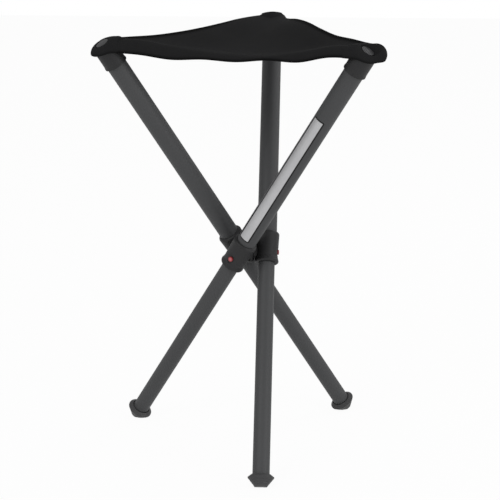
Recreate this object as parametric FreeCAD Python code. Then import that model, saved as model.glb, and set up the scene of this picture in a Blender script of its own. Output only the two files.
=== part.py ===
# Folding stool with three telescopic legs and a cloth sling seat, open and standing on its feet.
# The origin is on the floor under the middle of the stool and +Z is up. All lengths are in mm.
# Each leg turns about a radial pin in the hub. Its own frame has X pointing away from the stool's
# middle, Z up along the leg and the pin at the origin, and "height" there means the place along Z.
import FreeCAD, Part
import math
import os

V = FreeCAD.Vector

# Stance
leg_directions = {1: -120.0, 2: 0.0, 3: 120.0}   # bearing of each leg's pin, degrees from +X
lean = 33.3                   # lean of an open leg from the vertical, degrees

# Upper tube, held in the sleeve and closed by the cap
upper_tube_diameter = 25.0
upper_tube_wall = 1.2
pivot_to_cap = 300.4          # from the pin up to the cap's lower edge

# Lower tube, which slides inside the upper tube
tube_room = 0.65              # radial room between the two tubes, filled by the glide bush
lower_tube_wall = 1.2
lower_tube_top = 24.0         # height of its upper end with the leg drawn out
pivot_to_foot = 285.0         # from the pin down to the foot's top
slide_margin = 2.0            # left between foot and sleeve with the leg pushed in

# Sleeve round the upper tube at the pin, its walls measured from the tube's surface
sleeve_above = 26.0
sleeve_below = 15.0
sleeve_lip = 4.0              # floor of the sleeve, which guides the lower tube
sleeve_rim_wall = 0.7         # at the upper end
sleeve_shoulder_wall = 3.2
sleeve_shoulder_drop = 4.5    # from the upper end to the full radius
sleeve_waist_wall = 1.8
sleeve_waist_depth = 7.0      # of the waist below the pin
sleeve_foot_wall = 2.7
sleeve_foot_rise = 3.6        # from the lower end to the lower bulge
sleeve_foot_face = 1.0        # width of the flat lower end, from the tube's surface outwards
sleeve_round = 1.0            # bulge of the rounded ends
boss_radius = 9.0             # flat boss that bears on the hub
boss_length = 3.4             # from the tube's surface to the bearing face

# Hub and pins
hub_face = 8.5                # from the middle to each bearing face
hub_above = 21.0
hub_below = 11.0
hub_corner_round = 4.0
hub_edge = 1.5                # chamfer of its ends
pin_radius = 3.0
pin_inner_end = 2.6           # from the middle to the inner end of each pin
pin_head_radius = 5.5
pin_head_thickness = 1.6

# Lock: sprung clip in the lower tube, and the release button in the sleeve
lock_pin_radius = 4.0
button_radius = 3.2
button_flange = 0.5
button_proud = 1.6            # dome above the sleeve's waist
button_dome = 0.4
dish_radius = 6.2
dish_depth = 0.5
clip_strip = 0.6              # thickness of the spring strip
clip_width = 7.0
clip_depth = 38.0             # from the lock pin down to the bend
clip_bend_radius = 2.4
clip_tip = 6.0                # strip above the lock pin
clip_wall_gap = 0.7           # from the strip's tips to the tube's wall

# Glide bush on the lower tube's upper end
bush_length = 12.0
bush_end = 1.5

# Top cap
cap_height = 27.6
cap_wall = 1.6
cap_flare = 0.5
cap_flare_height = 4.0
cap_lip = 1.0                 # height of the flare's straight edge
cap_end = 3.0
cap_edge = 2.0
cap_plug_depth = 13.0

# Seat screw through the cloth into the cap
screw_head_radius = 8.0
screw_head_thickness = 1.5
screw_head_dome = 0.6
screw_radius = 2.5
screw_length = 16.0
screw_head_room = 1.0         # round the head, in the cloth

# Foot
foot_groove_width = 1.4       # groove round the tube
foot_groove_depth = 1.6
foot_top_rise = 3.4
foot_rim_overhang = 5.75      # beyond the tube's surface
foot_rim_height = 1.0
foot_cone_height = 11.0
foot_base_inset = 3.05        # of the base's edge inside the tube's surface
foot_socket = 9.0
foot_plug_rise = 12.0         # plug inside the tube
foot_grooves = 3              # round the cone
foot_cut_width = 1.2
foot_cut_depth = 0.4
foot_wear = 3.0               # height cut away level with the floor

# Label on the first leg
label_bottom = 32.4
label_length = 196.4
label_width = 17.0
label_turn = -4.0             # about the tube, degrees from its outward side
label_thickness = 0.25
label_corner = 1.5

# Cloth seat: a pocket on each leg and three joined panels
cloth = 2.6
cap_cloth = 2.9               # under the screw head
pocket_drop = 15.0            # along the leg, from the screw's bearing face down to the hem
pocket_hem_slope = 23.0       # of the hem from square to the leg, so that it is nearly level
pocket_depth = 28.0           # that the cup is turned to, before the hem is cut
pocket_edge_wall = 3.3        # from the cap's surface at the top and the bottom
pocket_wall = 4.5             # at the bulge
pocket_shoulder = 5.0         # from the bearing face down to where the top rounds over
pocket_crown = 1.5            # of the top round the screw above the bearing face
pocket_crown_margin = 2.5     # of the round's highest line outside the screw head
pocket_round = 2.0            # bulge of the top round
panel_tuck = 10.0             # from the leg's end inwards to where the panel's lines end
corner_margin = 0.4           # of the cloth's half width at the corner beyond the cap's radius
mid_edge_inset = 12.0         # how far each edge is drawn in at its middle
mid_edge_drops = {"front": 14.0, "right": -7.0, "left": -2.5}
middle_drop = 20.0
panel_rise = 5.0              # of the panel's outer end above the leg's end
panel_dip = 2.0               # of the panel's outer end in its middle
panel_inner_end = 1.0         # from the seat's middle to each panel's tip
cloth_curve = 1.5             # power by which the cloth rises from the middle
hem_height = 12.0
hem_width = 5.0
edges_of_panel = {1: ("front", "right"), 2: ("right", "left"), 3: ("left", "front")}
panel_spans = 4
seam_spans = 3

# Clearances
press_gap = 0.02              # radial, pieces that are driven together
running_gap = 0.05            # radial, pins and buttons that turn or slide
glide_gap = 0.09              # radial, tube in guide
face_gap = 0.1                # between faces that turn on each other
cloth_gap = 0.3               # cloth to its neighbours

# Round holes are cut this far past the surfaces they go through
overrun = 1.0

# Worked out from the values above
quarter_bulge = 1 - math.sqrt(0.5)   # of a quarter round, as a share of its radius
upper_radius = upper_tube_diameter / 2
upper_bore = upper_radius - upper_tube_wall
lower_radius = upper_bore - tube_room
lower_bore = lower_radius - lower_tube_wall
sleeve_rim_radius = upper_radius + sleeve_rim_wall
sleeve_shoulder_radius = upper_radius + sleeve_shoulder_wall
sleeve_waist_radius = upper_radius + sleeve_waist_wall
sleeve_foot_radius = upper_radius + sleeve_foot_wall
leg_offset = hub_face + face_gap + boss_length + upper_radius
cap_radius = upper_radius + press_gap + cap_wall
foot_rim_radius = lower_radius + foot_rim_overhang
foot_base_radius = lower_radius - foot_base_inset
lean_sin = math.sin(math.radians(lean))
lean_cos = math.cos(math.radians(lean))
cap_top = pivot_to_cap + cap_height
tube_top = cap_top - cap_end
tube_bottom = sleeve_lip - sleeve_below
head_seat = cap_top + cap_cloth
foot_base = -(pivot_to_foot + foot_top_rise + foot_rim_height + foot_cone_height)
hub_height = -foot_base * lean_cos + foot_base_radius * lean_sin - foot_wear
slide_range = pivot_to_foot - sleeve_below - slide_margin


def ring(outer, inner, bottom, top):
    """Tube between two heights on Z."""
    body = Part.makeCylinder(outer, top - bottom, V(0, 0, bottom))
    return body.cut(Part.makeCylinder(inner, top - bottom, V(0, 0, bottom)))


def turned(points):
    """Solid turned about Z from its outline of (radius, height) points.

    A (point, bulge) pair is reached by an arc that bulges to the right of its chord."""
    edges = []
    last = V(points[0][0], 0, points[0][1])
    for point in points[1:] + points[:1]:
        if isinstance(point[0], tuple):
            end = V(point[0][0], 0, point[0][1])
            chord = end - last
            side = V(chord.z, 0, -chord.x) * (point[1] / chord.Length)
            edges.append(Part.Arc(last, last + chord * 0.5 + side, end).toShape())
        else:
            end = V(point[0], 0, point[1])
            edges.append(Part.LineSegment(last, end).toShape())
        last = end
    face = Part.Face(Part.Wire(edges))
    return face.revolve(V(0, 0, 0), V(0, 0, 1), 360)


def domed(body, radius, height, top):
    """Round the end of a turned body into part of a ball."""
    ball = (radius ** 2 + height ** 2) / (2 * height)
    return body.common(Part.makeSphere(ball, V(0, 0, top - ball)))


def along_x(radius, start, end):
    """Round bar on the X axis, at the height of the pin."""
    return Part.makeCylinder(radius, end - start, V(start, 0, 0), V(1, 0, 0))


def sleeve():
    """Moulded sleeve: turned body, boss towards the hub, bores for tube, pin and button."""
    shoulder = sleeve_above - sleeve_shoulder_drop
    body = turned([
        (0, -sleeve_below),
        (upper_radius + sleeve_foot_face, -sleeve_below),
        ((sleeve_foot_radius, -sleeve_below + sleeve_foot_rise), sleeve_round),
        (sleeve_waist_radius, -sleeve_waist_depth),
        (sleeve_shoulder_radius, shoulder),
        ((sleeve_rim_radius, sleeve_above), sleeve_round),
        (0, sleeve_above)])
    boss_face = -(leg_offset - hub_face - face_gap)
    body = body.fuse(along_x(boss_radius, boss_face, 0))
    body = body.cut(Part.makeCylinder(upper_radius + press_gap, sleeve_above - tube_bottom,
                                      V(0, 0, tube_bottom)))
    body = body.cut(Part.makeCylinder(lower_radius + glide_gap, sleeve_lip, V(0, 0, -sleeve_below)))
    body = body.cut(along_x(pin_radius + running_gap, boss_face, -upper_radius + overrun))
    head_space = pin_head_thickness + 2 * face_gap
    body = body.cut(along_x(pin_head_radius + face_gap, -upper_radius - head_space, -upper_radius + overrun))
    body = body.cut(along_x(button_radius + running_gap, upper_radius - overrun,
                            sleeve_shoulder_radius + overrun))
    flange_space = upper_radius + button_flange + 2 * face_gap
    body = body.cut(along_x(lock_pin_radius + face_gap, upper_radius - overrun, flange_space))
    dish_floor = sleeve_waist_radius - dish_depth
    body = body.cut(along_x(dish_radius, dish_floor, sleeve_shoulder_radius + overrun))
    return body


def upper_tube():
    """Tube with the lock hole on its outward side."""
    tube = ring(upper_radius, upper_bore, tube_bottom, tube_top)
    return tube.cut(along_x(lock_pin_radius + face_gap, 0, upper_radius + overrun))


def top_cap():
    """Cup over the tube's end, with a plug inside the tube and a hole for the screw."""
    inner = upper_radius + press_gap
    outer = cap_radius
    return turned([
        (inner, pivot_to_cap),
        (outer + cap_flare, pivot_to_cap),
        (outer + cap_flare, pivot_to_cap + cap_lip),
        (outer, pivot_to_cap + cap_flare_height),
        (outer, cap_top - cap_edge),
        ((outer - cap_edge, cap_top), quarter_bulge * cap_edge),
        (screw_radius + press_gap, cap_top),
        (screw_radius + press_gap, tube_top - cap_plug_depth),
        (upper_bore - press_gap, tube_top - cap_plug_depth),
        (upper_bore - press_gap, tube_top),
        (inner, tube_top)])


def seat_screw():
    """Wide flat head on a plain shank."""
    top = head_seat + screw_head_thickness
    shank = Part.makeCylinder(screw_radius, screw_length, V(0, 0, head_seat - screw_length))
    head = Part.makeCylinder(screw_head_radius, screw_head_thickness, V(0, 0, head_seat))
    return domed(shank.fuse(head), screw_head_radius, screw_head_dome, top)


def lower_tube():
    """Tube with the hole that the lock pin comes out of."""
    tube = ring(lower_radius, lower_bore, -pivot_to_foot - foot_socket, lower_tube_top)
    return tube.cut(along_x(lock_pin_radius + running_gap, 0, lower_radius + overrun))


def glide_bush():
    """Ring on the lower tube's upper end that slides in the upper tube."""
    bottom = lower_tube_top - bush_length
    top = lower_tube_top + bush_end
    body = ring(upper_bore - glide_gap, lower_radius + press_gap, bottom, lower_tube_top)
    return body.fuse(ring(upper_bore - glide_gap, lower_bore, lower_tube_top, top))


def foot():
    """Rubber foot: collar, rim and grooved cone, with a plug inside the tube."""
    top = -pivot_to_foot
    groove = lower_radius + press_gap + foot_groove_width
    rim = top - foot_top_rise
    rim_low = rim - foot_rim_height
    socket = top - foot_socket
    outline = [
        (0, foot_base),
        (foot_base_radius, foot_base)]
    slope = (foot_rim_radius - foot_base_radius) / foot_cone_height
    for i in range(foot_grooves):
        middle = foot_cone_height * (i + 1) / (foot_grooves + 1)
        for height, depth in ((middle - foot_cut_width / 2, 0), (middle, foot_cut_depth),
                              (middle + foot_cut_width / 2, 0)):
            outline.append((foot_base_radius + slope * height - depth, foot_base + height))
    outline += [
        (foot_rim_radius, rim_low),
        (foot_rim_radius, rim),
        (groove, top),
        (groove, top - foot_groove_depth),
        (lower_radius + press_gap, top - foot_groove_depth),
        (lower_radius + press_gap, socket),
        (lower_bore - press_gap, socket),
        (lower_bore - press_gap, socket + foot_plug_rise),
        (0, socket + foot_plug_rise)]
    return turned(outline)


def strip(start, end):
    """Straight length of spring strip in the XZ plane between two (x, z) points."""
    run = V(end[0] - start[0], 0, end[1] - start[1])
    side = V(run.z, 0, -run.x)
    side.multiply(clip_strip / 2 / side.Length)
    first = V(start[0], -clip_width / 2, start[1])
    last = first + run
    face = Part.Face(Part.makePolygon([first + side, last + side, last - side, first - side, first + side]))
    return face.extrude(V(0, clip_width, 0))


def lock_clip():
    """V spring: two strips from a bend, the lock pin near the tip of the outward one."""
    reach = lower_bore - clip_wall_gap - clip_strip / 2
    bend = clip_bend_radius
    outward = strip((bend, -clip_depth), (reach, clip_tip))
    inward = strip((-bend, -clip_depth), (-reach, clip_tip))
    side = V(0, -clip_width / 2, -clip_depth)
    loop = Part.makeCylinder(bend + clip_strip / 2, clip_width, side, V(0, 1, 0))
    loop = loop.cut(Part.makeCylinder(bend - clip_strip / 2, clip_width, side, V(0, 1, 0)))
    above = Part.makeBox(4 * bend, 2 * clip_width, 4 * bend, V(-2 * bend, -clip_width, -clip_depth))
    loop = loop.cut(above)
    pin_root = bend + (reach - bend) * clip_depth / (clip_depth + clip_tip)
    pin = along_x(lock_pin_radius, pin_root, upper_radius - face_gap)
    return outward.multiFuse([inward, loop, pin])


def release_button():
    """Red button: flange behind the sleeve's wall, stem and low dome."""
    inner = upper_radius + face_gap
    face = sleeve_waist_radius + button_proud
    flange = Part.makeCylinder(lock_pin_radius, button_flange, V(0, 0, inner))
    stem = Part.makeCylinder(button_radius, face - inner, V(0, 0, inner))
    button = domed(flange.fuse(stem), button_radius, button_dome, face)
    button.rotate(V(0, 0, 0), V(0, 1, 0), 90)
    return button


def label():
    """Thin curved plate with rounded corners on the upper tube's outward side."""
    inner = upper_radius + press_gap
    outer = inner + label_thickness
    half_angle = math.degrees(label_width / 2 / outer)
    plate = ring(outer, inner, label_bottom, label_bottom + label_length)
    half_chord = outer * math.sin(math.radians(half_angle))
    block = Part.makeBox(outer, 2 * half_chord, label_length, V(0, -half_chord, label_bottom))
    sides = [edge for edge in block.Edges if abs(edge.tangentAt(edge.FirstParameter).x) > 0.99]
    plate = plate.common(block.makeFillet(label_corner, sides))
    plate.rotate(V(0, 0, 0), V(0, 0, 1), label_turn)
    return plate


def pivot_pin():
    """Pin from the hub through the sleeve's boss, with its head inside the sleeve."""
    head_start = -upper_radius - pin_head_thickness - face_gap
    shank = along_x(pin_radius, pin_inner_end - leg_offset, head_start)
    return shank.fuse(along_x(pin_head_radius, head_start, -upper_radius - face_gap))


def hub_core():
    """Three-sided core with a bearing face and a cross hole for each leg."""
    corner = hub_face / math.cos(math.radians(60))
    points = []
    for bearing in leg_directions.values():
        angle = math.radians(bearing + 60)
        points.append(V(corner * math.cos(angle), corner * math.sin(angle), -hub_below))
    prism = Part.Face(Part.makePolygon(points + points[:1])).extrude(V(0, 0, hub_above + hub_below))
    upright = [edge for edge in prism.Edges if abs(edge.tangentAt(edge.FirstParameter).z) > 0.99]
    prism = prism.makeFillet(hub_corner_round, upright)
    ends = [edge for edge in prism.Edges if abs(edge.tangentAt(edge.FirstParameter).z) < 0.01]
    prism = prism.makeChamfer(hub_edge, ends)
    for bearing in leg_directions.values():
        angle = math.radians(bearing)
        outward = V(math.cos(angle), math.sin(angle), 0)
        hole = Part.makeCylinder(pin_radius + press_gap, hub_face, outward * pin_inner_end, outward)
        prism = prism.cut(hole)
    prism.translate(V(0, 0, hub_height))
    return prism


# Seat, worked out in the frame of one corner: X from the stool's middle to the leg's end, Z up
end_out = head_seat * lean_sin
end_radius = math.hypot(leg_offset, end_out)
end_bearing = math.degrees(math.atan2(end_out, leg_offset))
end_height = head_seat * lean_cos
mid_edge_radius = end_radius / 2 - mid_edge_inset
panel_end = end_radius - panel_tuck
panel_start = mid_edge_radius / 2
panel_half_width = mid_edge_radius * math.sin(math.radians(60))


def edge_half_width(x):
    """Half width of the seat at x: the edge is an arc that leaves the middle of the side square."""
    run = end_radius - panel_start
    rise = panel_half_width - cap_radius - corner_margin
    half_turn = math.radians(30) - math.atan2(rise, run)
    radius = math.hypot(run, rise) / (2 * math.sin(half_turn))
    centre_x = panel_start + radius / 2
    centre_y = panel_half_width + radius * math.cos(math.radians(30))
    return centre_y - math.sqrt(radius ** 2 - (x - centre_x) ** 2)


def ridge_height(x):
    """Height of the cloth on the line from the middle to the corner."""
    rise = middle_drop + panel_rise - panel_dip
    return end_height - middle_drop + rise * (x / panel_end) ** cloth_curve


def seam_height(distance, drop):
    """Height of the cloth on the line from the middle to the middle of a side."""
    return end_height - middle_drop + (middle_drop - drop) * (distance / mid_edge_radius) ** cloth_curve


def hem_top(x, drop):
    """Height of the seat's edge, from the middle of the side to the pocket."""
    share = (x - panel_start) / (panel_end - panel_start)
    return end_height - drop + (drop + panel_rise) * share


def line(start, end):
    return Part.LineSegment(start, end).toShape()


def arc(start, via, end):
    return Part.Arc(start, via, end).toShape()


def sheet_section(x, half, edges, ridge):
    """Closed outline of the plain cloth at x: two arcs and two straight ends."""
    top = [V(x, -half, edges[0]), V(x, 0, ridge), V(x, half, edges[1])]
    low = [point - V(0, 0, cloth) for point in top]
    return Part.Wire([arc(*top), line(top[2], low[2]), arc(*reversed(low)), line(low[0], top[0])])


def hemmed_section(x, half, edges, ridge):
    """Closed outline at x with a hem hanging from each edge."""
    top = [V(x, -half, edges[0]), V(x, 0, ridge), V(x, half, edges[1])]
    inner = half - hem_width
    fall = 2 * hem_width / half   # of the cloth's arc across the hem, as a share of its depth
    under = [edge - cloth - fall * (edge - ridge) for edge in edges]
    right = [V(x, half, edges[1] - hem_height), V(x, inner, edges[1] - hem_height),
             V(x, inner, under[1])]
    left = [V(x, -inner, under[0]), V(x, -inner, edges[0] - hem_height),
            V(x, -half, edges[0] - hem_height)]
    return Part.Wire([
        arc(*top), line(top[2], right[0]), line(right[0], right[1]), line(right[1], right[2]),
        arc(right[2], V(x, 0, ridge - cloth), left[0]),
        line(left[0], left[1]), line(left[1], left[2]), line(left[2], top[0])])


def seat_panel(number):
    """Third of the sling from the middle of the seat to one pocket, in the frame of its corner."""
    drops = [mid_edge_drops[name] for name in edges_of_panel[number]]
    widen = math.tan(math.radians(60))
    seam = cloth_gap / 2 / math.cos(math.radians(30))
    inner = []
    for i in range(seam_spans + 1):
        x = panel_inner_end + (panel_start - panel_inner_end) * i / seam_spans
        seams = [seam_height(2 * x, drop) for drop in drops]
        inner.append(sheet_section(x, (x - seam) * widen, seams, ridge_height(x)))
    outer = []
    for i in range(panel_spans + 1):
        x = panel_start + seam + (panel_end - panel_start - seam) * i / panel_spans
        hems = [hem_top(x, drop) for drop in drops]
        outer.append(hemmed_section(x, edge_half_width(x) - seam, hems, ridge_height(x)))
    seams = [seam_height(2 * panel_start, drop) for drop in drops]
    inner.append(sheet_section(panel_start + 2 * seam, (panel_start - seam) * widen,
                               seams, ridge_height(panel_start)))
    return Part.makeLoft(inner, True, True).fuse(Part.makeLoft(outer, True, True))


def pocket_outside(margin):
    """Outside of the pocket, a soft cup turned about the leg, with a margin all round."""
    edge = head_seat - pocket_depth - margin
    side = head_seat - pocket_shoulder
    crown = head_seat + pocket_crown + margin
    edge_radius = cap_radius + pocket_edge_wall + margin
    cup = turned([
        (0, edge),
        (edge_radius, edge),
        ((edge_radius, side), pocket_wall - pocket_edge_wall),
        ((screw_head_radius + pocket_crown_margin, crown), pocket_round),
        (0, crown)])
    size = 4 * cap_radius
    hem = Part.makeBox(size, size, size, V(-size / 2, -size / 2, -size - margin))
    hem.rotate(V(0, 0, 0), V(1, 0, 0), pocket_hem_slope)
    hem.translate(V(0, 0, head_seat - pocket_drop))
    return cup.cut(hem)


def seat_pocket():
    """Padded cloth cup over the cap, with a sloping hem and a dish for the screw head."""
    pocket = pocket_outside(0)
    pocket = pocket.cut(Part.makeCylinder(cap_radius + cloth_gap, 2 * cap_height,
                                          V(0, 0, cap_top + cloth_gap - 2 * cap_height)))
    pocket = pocket.cut(Part.makeCylinder(screw_radius + cloth_gap, screw_length, V(0, 0, cap_top)))
    return pocket.cut(Part.makeCylinder(screw_head_radius + screw_head_room, cap_height,
                                        V(0, 0, head_seat - cloth_gap)))


# Places of the pieces
def leg_place(bearing):
    turn = FreeCAD.Placement(V(0, 0, 0), FreeCAD.Rotation(V(0, 0, 1), bearing))
    leaning = FreeCAD.Placement(V(leg_offset, 0, hub_height), FreeCAD.Rotation(V(1, 0, 0), -lean))
    return turn.multiply(leaning)


def corner_place(bearing):
    return FreeCAD.Placement(V(0, 0, hub_height), FreeCAD.Rotation(V(0, 0, 1), bearing + end_bearing))


def placed(shape, place):
    moved = shape.copy()
    moved.Placement = place.multiply(shape.Placement)
    return moved


def cut_level(shape):
    """Cut a foot level with the floor."""
    size = 4 * foot_rim_radius
    centre = shape.CenterOfMass
    floor = Part.makeBox(size, size, size, V(centre.x - size / 2, centre.y - size / 2, -size))
    return shape.cut(floor)


os.makedirs("parts", exist_ok=True)


def save(name, shape):
    """Write one node and stop if its solids aren't sound."""
    if not shape.Solids or not shape.isValid():
        raise ValueError(name + " has no valid solid")
    body = shape.Solids[0] if len(shape.Solids) == 1 else Part.makeCompound(shape.Solids)
    body.exportStep("parts/" + name + ".step")
    print("%-18s %d solid %9.1f mm3" % (name, len(shape.Solids), body.Volume))


leg_pieces = {
    "sleeve": sleeve(),
    "upper_tube": upper_tube(),
    "top_cap": top_cap(),
    "seat_screw": seat_screw(),
    "lower_tube": lower_tube(),
    "glide_bush": glide_bush(),
    "foot": foot(),
    "lock_clip": lock_clip(),
    "release_button": release_button(),
    "seat_pocket": seat_pocket()}
pocket_room = pocket_outside(cloth_gap)

pin = pivot_pin()
pins = [placed(pin, leg_place(bearing)) for bearing in leg_directions.values()]

save("hub_core", hub_core())
save("pivot_pins", Part.makeCompound(pins))
for number, bearing in leg_directions.items():
    place = leg_place(bearing)
    corner = corner_place(bearing)
    for name, shape in leg_pieces.items():
        piece = placed(shape, place)
        if name == "foot":
            piece = cut_level(piece)
        save("%s_%d" % (name, number), piece)
    panel = placed(seat_panel(number), corner)
    save("seat_panel_%d" % number, panel.cut(placed(pocket_room, place)))
save("label", placed(label(), leg_place(leg_directions[1])))

print("hub height %.2f, height of the leg's end %.2f" % (hub_height, hub_height + end_height))
print("corner radius %.2f at %.3f degrees" % (end_radius, end_bearing))
print("slide range %.2f, panel's lines end at %.2f" % (slide_range, panel_end))
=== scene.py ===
# Folding stool with three telescopic legs and a cloth seat, dressed on its CAD frame.
# Places on the stool are worked out in millimetres and turned to metres when a mesh is made.
import math
import bmesh
import bpy
import numpy as np
from mathutils import Matrix


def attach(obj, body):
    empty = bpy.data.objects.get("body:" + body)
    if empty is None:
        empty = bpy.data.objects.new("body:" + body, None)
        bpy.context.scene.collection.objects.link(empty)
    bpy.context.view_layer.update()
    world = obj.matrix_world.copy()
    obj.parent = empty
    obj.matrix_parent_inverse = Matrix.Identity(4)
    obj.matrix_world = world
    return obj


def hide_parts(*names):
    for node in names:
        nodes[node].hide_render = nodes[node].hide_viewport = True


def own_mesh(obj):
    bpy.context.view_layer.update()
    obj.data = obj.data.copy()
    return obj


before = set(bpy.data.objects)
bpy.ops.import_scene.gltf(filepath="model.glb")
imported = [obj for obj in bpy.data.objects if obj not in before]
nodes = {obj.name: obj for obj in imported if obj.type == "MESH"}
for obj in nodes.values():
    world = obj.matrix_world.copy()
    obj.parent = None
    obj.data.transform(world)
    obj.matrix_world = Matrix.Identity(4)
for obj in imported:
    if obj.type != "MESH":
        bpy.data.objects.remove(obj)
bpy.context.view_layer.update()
print("frame loaded, nodes:", len(nodes))


cameraValues = {
    "place": (0.0999, -1.9246, 0.81825),
    "right": (0.99874, 0.05024, 0.0),
    "back": (0.0482, -0.9586, 0.2807),
    "lens": 113.07,        # on a 36 mm sensor
}

stageValues = {
    "floorSize": 8.0,
    "floorDrop": 0.0004,   # of the floor below the feet
    "floorColour": (0.82, 0.82, 0.82),
    "floorWhite": 0.95,    # share of plain white that the camera sees in the floor
    "worldLight": 0.55,
}

lampValues = {
    "keyLamp": {"place": (-1.6, -2.0, 2.2), "size": 1.4, "power": 24.0},
    "fillLamp": {"place": (2.2, -1.4, 1.0), "size": 1.6, "power": 20.0},
    "rimLamp": {"place": (1.7, 1.5, 1.5), "size": 1.0, "power": 8.0},
    "topLamp": {"place": (0.0, 0.2, 2.6), "size": 1.6, "power": 5.0},
}
lampTarget = (0, 0, 0.3)


def standing(right, back, place):
    # Matrix with the columns right, up = back x right, back and place
    turn = np.eye(4)
    turn[:3, 0] = right
    turn[:3, 1] = np.cross(back, right)
    turn[:3, 2] = back
    turn[:3, 3] = place
    return Matrix(turn.tolist())


def makeCamera(v):
    # The direction to the right is made square to the one backwards
    right = np.array(v["right"])
    back = np.array(v["back"])
    back = back / np.linalg.norm(back)
    right = right - back * (right @ back)
    right = right / np.linalg.norm(right)
    data = bpy.data.cameras.new("photoCamera")
    data.sensor_width = 36.0
    data.lens = v["lens"]
    data.clip_end = 50.0
    camera = bpy.data.objects.new("photoCamera", data)
    bpy.context.scene.collection.objects.link(camera)
    camera.matrix_world = standing(right, back, v["place"])
    bpy.context.scene.camera = camera


def addNode(tree, kind, place=(0, 0), **values):
    node = tree.nodes.new(kind)
    node.location = place
    for key, value in values.items():
        if hasattr(node, key):
            setattr(node, key, value)
        else:
            node.inputs[key.replace("_", " ")].default_value = value
    return node


def seenWhite(tree, lightPath):
    # 1 where a camera, mirror or glass ray arrives, so that only those see plain white
    first = addNode(tree, "ShaderNodeMath", (-400, 300), operation="MAXIMUM")
    second = addNode(tree, "ShaderNodeMath", (-200, 300), operation="MAXIMUM")
    tree.links.new(lightPath.outputs["Is Camera Ray"], first.inputs[0])
    tree.links.new(lightPath.outputs["Is Glossy Ray"], first.inputs[1])
    tree.links.new(first.outputs[0], second.inputs[0])
    tree.links.new(lightPath.outputs["Is Transmission Ray"], second.inputs[1])
    return second.outputs[0]


def makeStage(v):
    half = v["floorSize"] / 2
    mesh = bpy.data.meshes.new("studioFloor")
    corners = [(-half, -half, 0), (half, -half, 0), (half, half, 0), (-half, half, 0)]
    mesh.from_pydata(corners, [], [(0, 1, 2, 3)])
    floor = bpy.data.objects.new("studioFloor", mesh)
    floor.location.z = -v["floorDrop"]
    bpy.context.scene.collection.objects.link(floor)
    material = bpy.data.materials.new("paleFloor")
    material.use_nodes = True
    tree = material.node_tree
    tree.nodes.clear()
    out = addNode(tree, "ShaderNodeOutputMaterial", (600, 0))
    diffuse = addNode(tree, "ShaderNodeBsdfDiffuse", (0, -100), Color=(*v["floorColour"], 1))
    white = addNode(tree, "ShaderNodeEmission", (0, 100), Color=(1, 1, 1, 1), Strength=1.0)
    path = addNode(tree, "ShaderNodeLightPath", (-700, 300))
    share = addNode(tree, "ShaderNodeMath", (0, 300), operation="MULTIPLY")
    share.inputs[1].default_value = v["floorWhite"]
    mix = addNode(tree, "ShaderNodeMixShader", (300, 0))
    tree.links.new(seenWhite(tree, path), share.inputs[0])
    tree.links.new(share.outputs[0], mix.inputs[0])
    tree.links.new(diffuse.outputs[0], mix.inputs[1])
    tree.links.new(white.outputs[0], mix.inputs[2])
    tree.links.new(mix.outputs[0], out.inputs[0])
    mesh.materials.append(material)

    world = bpy.data.worlds.new("paleRoom")
    bpy.context.scene.world = world
    world.use_nodes = True
    tree = world.node_tree
    tree.nodes.clear()
    out = addNode(tree, "ShaderNodeOutputWorld", (600, 0))
    room = addNode(tree, "ShaderNodeBackground", (0, -100), Color=(1, 1, 1, 1), Strength=v["worldLight"])
    plain = addNode(tree, "ShaderNodeBackground", (0, 100), Color=(1, 1, 1, 1), Strength=1.0)
    path = addNode(tree, "ShaderNodeLightPath", (-700, 300))
    mix = addNode(tree, "ShaderNodeMixShader", (300, 0))
    tree.links.new(path.outputs["Is Camera Ray"], mix.inputs[0])
    tree.links.new(room.outputs[0], mix.inputs[1])
    tree.links.new(plain.outputs[0], mix.inputs[2])
    tree.links.new(mix.outputs[0], out.inputs[0])


def addLamp(name, v):
    # Area lamp that faces the target
    data = bpy.data.lights.new(name, "AREA")
    data.size = v["size"]
    data.energy = v["power"]
    lamp = bpy.data.objects.new(name, data)
    back = np.array(v["place"], float) - np.array(lampTarget, float)
    back = back / np.linalg.norm(back)
    right = np.cross((0, 0, 1), back)
    if np.linalg.norm(right) < 1e-3:    # straight above the target
        right = np.array((1.0, 0.0, 0.0))
    right = right / np.linalg.norm(right)
    lamp.matrix_world = standing(right, back, v["place"])
    bpy.context.scene.collection.objects.link(lamp)


makeCamera(cameraValues)
makeStage(stageValues)
for name, v in lampValues.items():
    addLamp(name, v)
bpy.context.scene.view_settings.view_transform = "Standard"
print("camera and stage made")


# Where the legs stand, for the finishes and the seat
legValues = {
    "bearings": {1: -120.0, 2: 0.0, 3: 120.0},
    "lean": 33.3,          # degrees from upright
    "offset": 24.5,        # of a leg's axis from the stool's middle, at its pin
    "hub": 252.25,         # level of the pins
    "end": 330.9,          # along the leg from the pin to the seat screw's bearing face
    "capTop": 328.0,       # along the leg to the top of its cap
    "capRadius": 14.42,
}


def legAxes(number):
    # Unit vectors of one leg: away from the middle along its pin, and up along the tube
    angle = math.radians(legValues["bearings"][number])
    lean = math.radians(legValues["lean"])
    out = np.array((math.cos(angle), math.sin(angle), 0.0))
    side = np.array((-math.sin(angle), math.cos(angle), 0.0))
    along = math.sin(lean) * side + math.cos(lean) * np.array((0, 0, 1.0))
    return out, along


def legPoint(number, height):
    # Point on a leg's axis, this far up along it from its pin
    out, along = legAxes(number)
    return out * legValues["offset"] + along * height + np.array((0, 0, legValues["hub"]))


def newGroup(name, inputs, outputs):
    tree = bpy.data.node_groups.new(name, "ShaderNodeTree")
    for label, kind, value in inputs:
        socket = tree.interface.new_socket(name=label, in_out="INPUT", socket_type=kind)
        if value is not None:
            socket.default_value = value
    for label, kind in outputs:
        tree.interface.new_socket(name=label, in_out="OUTPUT", socket_type=kind)
    return tree, addNode(tree, "NodeGroupInput", (-900, 0)), addNode(tree, "NodeGroupOutput", (900, 0))


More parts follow.
